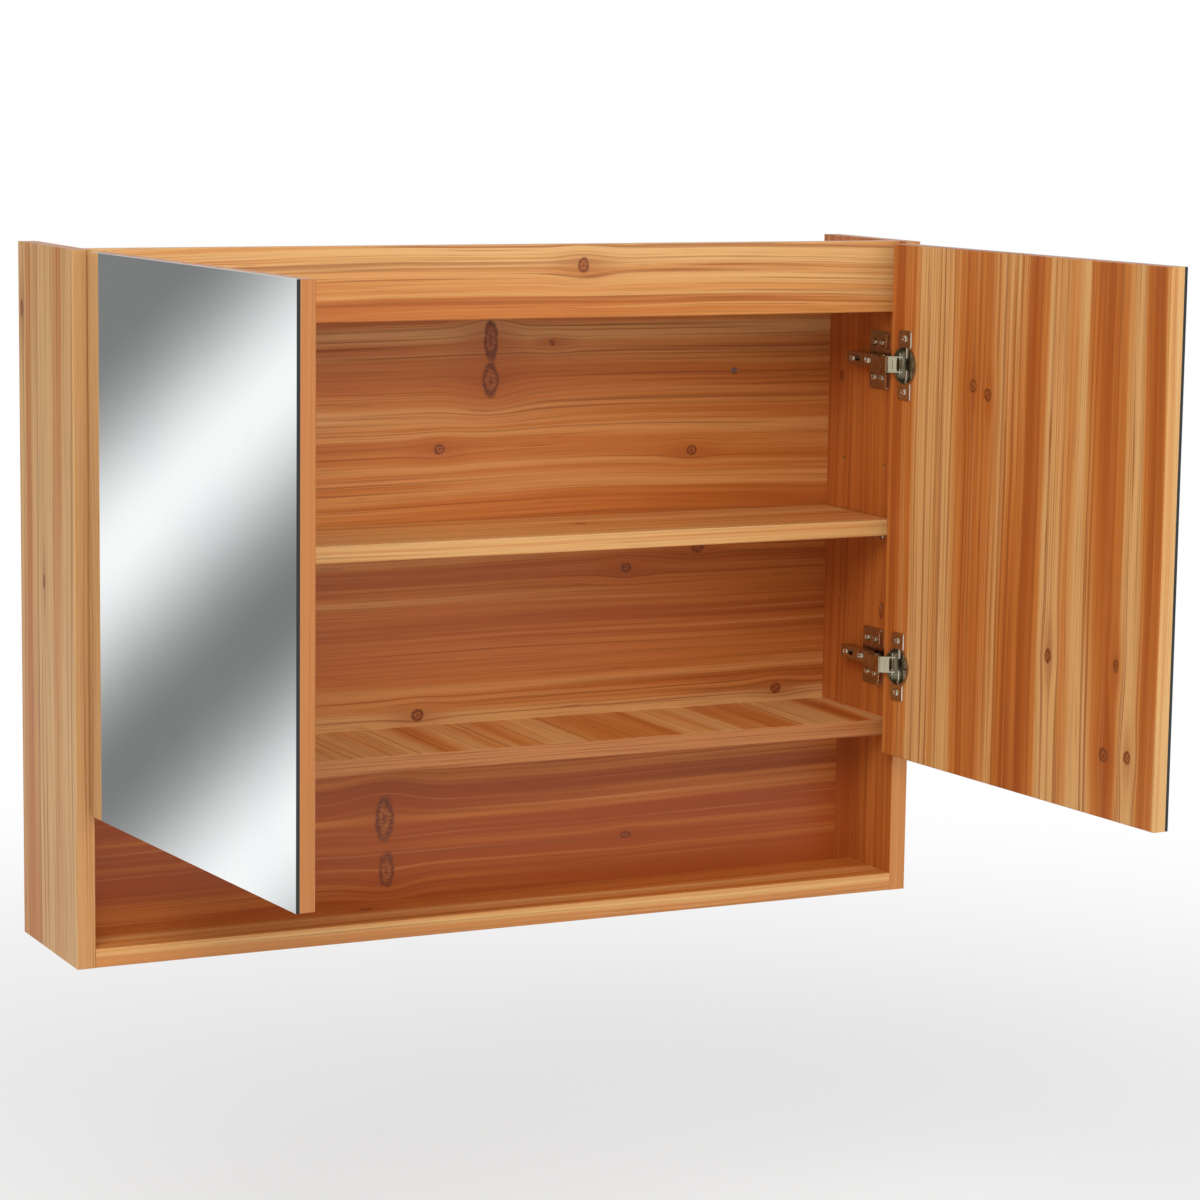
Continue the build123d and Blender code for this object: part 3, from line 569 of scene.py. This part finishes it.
def fit_screws():
    plate, tail, ring = [], [], []
    for number, side in enumerate(SIDES):
        inward = inward_of(side)
        for level, height in enumerate(HINGE_HEIGHTS):
            turn = 0.5 + 1.3 * number + 0.8 * level
            for column, forward in enumerate(PLATE_COLUMNS):
                for way in (-1, 1):
                    level_at = height + way * PLATE_SCREW_HALF
                    point = side_point(side, BOARD + PLATE_FACE, forward, level_at)
                    plate.append((point, inward, turn + 0.9 * column + 0.6 * way))
            tail.append((side_point(side, ARM_TOP, TAIL_SCREW, height), inward, turn))
            ring.append((side_point(side, ARM_TOP, RING_SCREW, height), inward, turn + 0.4))
        across, out, start, depth = door_frame(side)
        cups = []
        for level, height in enumerate(HINGE_HEIGHTS):
            for way in (-1, 1):
                point = across * (start + CUP_CENTRE) + out * (depth - CUP_FACE)
                point.z = height + way * CUP_SCREW_HALF + UNDERSIDE
                cups.append((point, -out, 0.3 + level + 0.7 * way))
        add_screws(f"{side}_cup_screws_detailed", f"{side}_door", f"{side}_cup_screws", cups,
                   0.0033, 0.0016, 0.0017, 0.010)
    add_screws("plate_screws_detailed", "root", "plate_screws", plate,
               0.0033, 0.0020, 0.0017, 0.014)
    add_screws("arm_tail_screws_detailed", "root", "arm_tail_screws", tail,
               0.0034, 0.0018, 0.0020, 0.0095)
    add_screws("arm_ring_screws_detailed", "root", "arm_ring_screws", ring,
               0.0040, 0.0018, 0.0020, 0.0095, groove=0.80)


# Hinge details: rounded ribs on the plates, a turned edge on each flange and a cover on each
# outer link
REST_ANGLE = {"left": 86.0, "right": 94.0}
OUTER_PIVOT, OUTER_RATE = Vector((0.0345, -0.0020)), -0.273
COVER_PATH = ((0.0350, 0.0078), (0.0334, 0.0100), (0.0312, 0.0111), (0.0235, 0.0113))
COVER_THICK, COVER_HALF = 0.0008, 0.0072
RIB_AT, RIB_HALF_WIDTH, RIB_FOOT, RIB_HIGH = -0.0245, 0.0027, 0.001, 0.0040
RIB_SPAN = (0.0108, 0.0264)
RIB_STEPS, RIB_RINGS = 16, 24
BEAD_RADIUS, BEAD_HALF_HIGH, BEAD_PROUD = 0.0009, 0.0009 * 1.3, 0.0008
BEAD_SPAN = (0.0158, 0.0310)
FLANGE_HALF_WIDTH = 0.0100
LEVEL_NAMES = ("upper", "lower")


def end_name(way):
    return "top" if way > 0 else "bottom"


def add_piece(name, body, material, vertices, faces, sharp=40):
    mesh = bpy.data.meshes.new(name)
    mesh.from_pydata(vertices, [], faces)
    made = bmesh.new()
    made.from_mesh(mesh)
    bmesh.ops.recalc_face_normals(made, faces=made.faces)
    made.to_mesh(mesh)
    made.free()
    mesh.shade_smooth()
    mesh.set_sharp_from_angle(angle=radians(sharp))
    mesh.materials.append(bpy.data.materials[material])
    piece = bpy.data.objects.new(name, mesh)
    bpy.context.scene.collection.objects.link(piece)
    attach(piece, body)
    return piece


def tube_faces(rings, steps):
    faces = []
    for ring in range(rings - 1):
        for step in range(steps):
            after = (step + 1) % steps
            here, there = ring * steps, (ring + 1) * steps
            faces.append((here + step, there + step, there + after, here + after))
    faces.append(tuple(reversed(range(steps))))
    faces.append(tuple((rings - 1) * steps + step for step in range(steps)))
    return faces


def add_rib(side, level, height, way):
    """A half-round rib with notches, over the plate's wing."""
    vertices = []
    start, end = RIB_SPAN
    middle, half = (start + end) / 2, (end - start) / 2
    for ring in range(RIB_RINGS):
        share = 2 * ring / (RIB_RINGS - 1) - 1
        taper = max(0.12, (1 - abs(share) ** 8)) ** 0.5
        notch = 0.86 if ring % 5 == 2 else 1.0
        for step in range(RIB_STEPS):
            angle = pi * step / (RIB_STEPS - 1)
            forward = RIB_AT + RIB_HALF_WIDTH * cos(angle) * taper
            inward = BOARD + RIB_FOOT + (RIB_HIGH - RIB_FOOT) * sin(angle) * taper * notch
            level_at = height + way * (middle + half * share)
            vertices.append(side_point(side, inward, forward, level_at))
    add_piece(f"{side}_{level}_plate_rib_{end_name(way)}", "root",
              "screw_nickel", vertices, tube_faces(RIB_RINGS, RIB_STEPS))


def add_bead(side, level, height, way, across, out, start, depth):
    """The rounded, turned-up far edge of one wing of a cup's flange."""
    middle, half = sum(BEAD_SPAN) / 2, (BEAD_SPAN[1] - BEAD_SPAN[0]) / 2
    centre = across * (start + CUP_CENTRE + FLANGE_HALF_WIDTH) + out * (depth - BEAD_PROUD)
    vertices = []
    for ring in range(RIB_RINGS):
        share = 2 * ring / (RIB_RINGS - 1) - 1
        taper = max(0.10, 1 - abs(share) ** 12) ** 0.5
        for step in range(RIB_STEPS):
            angle = 2 * pi * step / RIB_STEPS
            point = centre + across * (BEAD_RADIUS * cos(angle) * taper)
            point = point + out * (BEAD_HALF_HIGH * sin(angle) * taper)
            point.z = height + UNDERSIDE + way * (middle + half * share)
            vertices.append(point)
    add_piece(f"{side}_{level}_flange_bead_{end_name(way)}", f"{side}_door",
              "screw_nickel", vertices, tube_faces(RIB_RINGS, RIB_STEPS))


def add_cover(side, level, height):
    """Thin folded cover over the outer link's cheeks, in the link's rest position."""
    turn = Matrix.Rotation(radians(OUTER_RATE * REST_ANGLE[side]), 2)
    vertices = []
    for along, path in enumerate(COVER_PATH):
        before = Vector(COVER_PATH[max(along - 1, 0)])
        after = Vector(COVER_PATH[min(along + 1, len(COVER_PATH) - 1)])
        run = (after - before).normalized()
        outward = Vector((-run.y, run.x))
        for offset, half in ((0, -1), (0, 1), (1, 1), (1, -1)):
            flat = Vector(path) + outward * (offset * COVER_THICK)
            moved = OUTER_PIVOT + turn @ (flat - OUTER_PIVOT)
            vertices.append(side_point(side, moved.x, moved.y, height + half * COVER_HALF))
    piece = add_piece(f"{side}_{level}_link_cover", f"{side}_outer_links",
                      "link_nickel", vertices, tube_faces(len(COVER_PATH), 4), sharp=60)
    bevel = piece.modifiers.new("edge", "BEVEL")
    bevel.width, bevel.segments, bevel.limit_method = 0.0002, 2, "ANGLE"


def door_frame(side):
    """Direction across the door from its hinge edge, outward direction, hinge edge and inner face."""
    across, out = door_across(side), outer_face(side)[0]
    board, edge, free = door_ends(side)
    across = across if (free - edge).dot(across) > 0 else -across
    start = min(corner.dot(across) for corner in board)
    depth = min(corner.dot(out) for corner in board)
    return across, out, start, depth


def dress_hinges():
    for side in SIDES:
        across, out, start, depth = door_frame(side)
        for level, height in zip(LEVEL_NAMES, HINGE_HEIGHTS):
            for way in (-1, 1):
                add_rib(side, level, height, way)
                add_bead(side, level, height, way, across, out, start, depth)
            add_cover(side, level, height)


# Stage, world and lights
def staged(name, size, matrix, material):
    mesh = bpy.data.meshes.new(name)
    half = size / 2
    corners = [(-half, -half, 0), (half, -half, 0), (half, half, 0), (-half, half, 0)]
    mesh.from_pydata(corners, [], [(0, 1, 2, 3)])
    mesh.materials.append(material)
    piece = bpy.data.objects.new(name, mesh)
    piece.matrix_world = matrix
    bpy.context.scene.collection.objects.link(piece)
    return piece


def add_floor():
    """A pale floor that fades to white away from the object."""
    graph = Graph("floor_white")
    place = graph.coordinates().outputs["Object"]
    speck = graph.noise(place, 60.0, 2.0)
    colour = graph.mix(speck, srgb(240, 240, 239), srgb(246, 246, 245))
    far = graph.ramp(graph.vector("LENGTH", place), 0.6, 2.4, 0.60, 1.0)
    diffuse = graph.node("ShaderNodeBsdfDiffuse", {"Color": colour})
    white = graph.node("ShaderNodeEmission", {"Color": WHITE, "Strength": 1.0})
    path = graph.node("ShaderNodeLightPath")
    rays = graph.math("MAXIMUM", path.outputs["Is Camera Ray"], path.outputs["Is Glossy Ray"])
    seen = graph.mul(graph.math("MAXIMUM", rays, path.outputs["Is Transmission Ray"]), far)
    blend = graph.node("ShaderNodeMixShader",
                       {0: seen, 1: diffuse.outputs[0], 2: white.outputs[0]})
    out = graph.node("ShaderNodeOutputMaterial")
    graph.tree.links.new(blend.outputs[0], out.inputs[0])
    staged("floor", FLOOR_SIZE, Matrix.Translation((0, 0, FLOOR_AT)), graph.material)


def mirrored(vector, normal):
    return vector - 2 * vector.dot(normal) * normal


def add_reflection_card():
    """A soft grey and white card that only the left mirror sees, behind the cabinet's left."""
    normal, point = outer_face("left")
    right, up, forward = (mirrored(axis, normal) for axis in camera_axes())
    eye = CAMERA_AT - 2 * (CAMERA_AT - point).dot(normal) * normal
    pixel = CARD_FAR * SENSOR / LENS / PHOTO
    centre = eye + forward * CARD_FAR
    graph = Graph("reflection_card")
    place = graph.coordinates().outputs["Object"]
    card_x = graph.vector("DOT_PRODUCT", place, (1, 0, 0))
    card_y = graph.vector("DOT_PRODUCT", place, (0, 1, 0))
    column = graph.add(graph.mul(card_x, 1 / pixel), PHOTO / 2)
    line = graph.sub(PHOTO / 2, graph.mul(card_y, 1 / pixel))
    slant = graph.add(line, graph.mul(column, CARD_SLANT))
    slant = graph.math("MAXIMUM", slant, CARD_DARK_AT)
    half_wave = CARD_WHITE_AT - CARD_DARK_AT
    wave = graph.math("COSINE", graph.mul(graph.sub(slant, CARD_WHITE_AT), pi / half_wave))
    grey = graph.add(graph.mul(wave, CARD_SWING), CARD_GREY)
    light = graph.math("POWER", grey, DISPLAY_GAMMA)
    glow = graph.node("ShaderNodeEmission", {"Color": WHITE, "Strength": light})
    path = graph.node("ShaderNodeLightPath")
    clear = graph.node("ShaderNodeBsdfTransparent")
    soft = graph.mul(graph.ramp(card_y, *CARD_FADE_LOW), graph.ramp(card_y, *CARD_FADE_HIGH))
    soft = graph.mul(soft, graph.ramp(graph.math("ABSOLUTE", card_x), *CARD_FADE_HIGH))
    seen = graph.mul(path.outputs["Is Glossy Ray"], soft)
    shown = graph.node("ShaderNodeMixShader", {0: seen, 1: clear.outputs[0], 2: glow.outputs[0]})
    out = graph.node("ShaderNodeOutputMaterial")
    graph.tree.links.new(shown.outputs[0], out.inputs[0])
    matrix = placed(right, up, right.cross(up), centre)
    card = staged("reflection_card", CARD_SIZE, matrix, graph.material)
    card.visible_camera = False
    card.visible_diffuse = False
    card.visible_shadow = False
    card.visible_transmission = False


def add_world():
    """White behind the object and an even light on it, with broad soft greys in reflections."""
    world = bpy.data.worlds.new("studio")
    bpy.context.scene.world = world
    world.use_nodes = True
    graph = Graph.of(world.node_tree)
    path = graph.node("ShaderNodeLightPath")
    heading = graph.coordinates().outputs["Generated"]
    slant = graph.vector("DOT_PRODUCT", heading, GREY_ACROSS)
    wave = graph.math("SINE", graph.add(graph.mul(slant, 2 * pi / GREY_PERIOD), GREY_PHASE))
    rise = graph.vector("DOT_PRODUCT", heading, (0, 0, 1))
    depth = graph.ramp(rise, 0.0, GREY_FULL_AT, 0.0, GREY_DEPTH)
    greys = graph.add(graph.mul(graph.sub(wave, 1.0), depth), 1.0)
    level = graph.mix(path.outputs["Is Glossy Ray"], (AMBIENT, AMBIENT, AMBIENT, 1.0), greys)
    level = graph.mix(path.outputs["Is Transmission Ray"], level, WHITE)
    level = graph.mix(path.outputs["Is Camera Ray"], level, WHITE)
    sky = graph.node("ShaderNodeBackground", {"Color": level, "Strength": 1.0})
    out = graph.node("ShaderNodeOutputWorld")
    graph.tree.links.new(sky.outputs[0], out.inputs[0])


def area_light(name, place, size, power):
    data = bpy.data.lights.new(name, "AREA")
    data.shape = "SQUARE"
    data.size = size
    data.energy = power
    lamp = bpy.data.objects.new(name, data)
    lamp.location = place
    lamp.rotation_euler = (Vector(AIM) - Vector(place)).to_track_quat("-Z", "Y").to_euler()
    bpy.context.scene.collection.objects.link(lamp)
    lamp.visible_glossy = False


add_camera()
paint_boards()
paint_fittings()
fit_screws()
dress_hinges()
add_floor()
add_reflection_card()
add_world()
area_light("key", KEY_AT, KEY_SIZE, KEY_POWER)
area_light("fill", FILL_AT, FILL_SIZE, FILL_POWER)

bpy.context.scene.view_settings.view_transform = "Standard"
